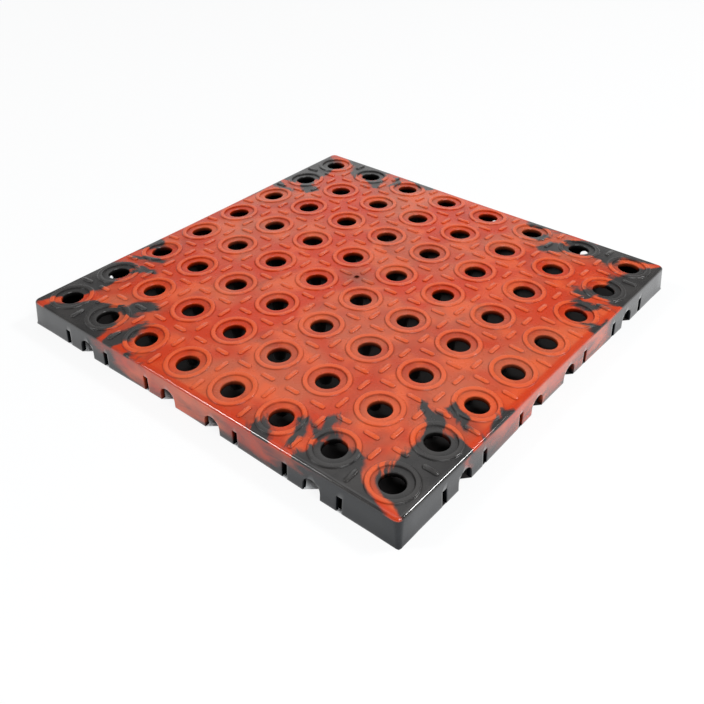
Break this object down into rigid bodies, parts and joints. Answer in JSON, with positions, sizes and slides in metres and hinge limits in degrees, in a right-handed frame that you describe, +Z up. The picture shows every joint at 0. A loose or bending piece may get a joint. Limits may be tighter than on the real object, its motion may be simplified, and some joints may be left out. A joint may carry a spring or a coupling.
{
  "type": "anti fatigue drain mat",
  "caption": "Square moulded floor mat: a crowned deck of collared drain holes with raised tread bars, carried on a slotted, arched skirt and rows of short feet.",
  "frame": {"origin": "on the floor under the middle of the mat", "axes": "+Z up out of the deck, -Y towards the front side, +X to the right"},
  "size_m": [0.4, 0.4, 0.0308],
  "materials": {
    "red_compound": "satin moulded, marbled with charcoal towards the corners",
    "marbled_compound": "satin moulded, charcoal streaked with red",
    "charcoal_compound": "satin moulded"
  },
  "bodies": {
    "root": {"deck": "red_compound", "skirt_front": "marbled_compound", "skirt_right": "marbled_compound", "skirt_back": "marbled_compound", "skirt_left": "marbled_compound", "corner_front_left": "charcoal_compound", "corner_front_right": "charcoal_compound", "corner_back_right": "charcoal_compound", "corner_back_left": "charcoal_compound", "foot_row1_col1": "charcoal_compound", "foot_row1_col2": "charcoal_compound", "foot_row1_col3": "charcoal_compound", "foot_row1_col4": "charcoal_compound", "foot_row1_col5": "charcoal_compound", "foot_row1_col6": "charcoal_compound", "foot_row1_col7": "charcoal_compound", "foot_row2_col1": "charcoal_compound", "foot_row2_col2": "charcoal_compound", "foot_row2_col3": "charcoal_compound", "foot_row2_col4": "charcoal_compound", "foot_row2_col5": "charcoal_compound", "foot_row2_col6": "charcoal_compound", "foot_row2_col7": "charcoal_compound", "foot_row3_col1": "charcoal_compound", "foot_row3_col2": "charcoal_compound", "foot_row3_col3": "charcoal_compound", "foot_row3_col4": "charcoal_compound", "foot_row3_col5": "charcoal_compound", "foot_row3_col6": "charcoal_compound", "foot_row3_col7": "charcoal_compound", "foot_row4_col1": "charcoal_compound", "foot_row4_col2": "charcoal_compound", "foot_row4_col3": "charcoal_compound", "foot_row4_col4": "charcoal_compound", "foot_row4_col5": "charcoal_compound", "foot_row4_col6": "charcoal_compound", "foot_row4_col7": "charcoal_compound", "foot_row5_col1": "charcoal_compound", "foot_row5_col2": "charcoal_compound", "foot_row5_col3": "charcoal_compound", "foot_row5_col4": "charcoal_compound", "foot_row5_col5": "charcoal_compound", "foot_row5_col6": "charcoal_compound", "foot_row5_col7": "charcoal_compound", "foot_row6_col1": "charcoal_compound", "foot_row6_col2": "charcoal_compound", "foot_row6_col3": "charcoal_compound", "foot_row6_col4": "charcoal_compound", "foot_row6_col5": "charcoal_compound", "foot_row6_col6": "charcoal_compound", "foot_row6_col7": "charcoal_compound", "foot_row7_col1": "charcoal_compound", "foot_row7_col2": "charcoal_compound", "foot_row7_col3": "charcoal_compound", "foot_row7_col4": "charcoal_compound", "foot_row7_col5": "charcoal_compound", "foot_row7_col6": "charcoal_compound", "foot_row7_col7": "charcoal_compound"}
  },
  "joints": []
}
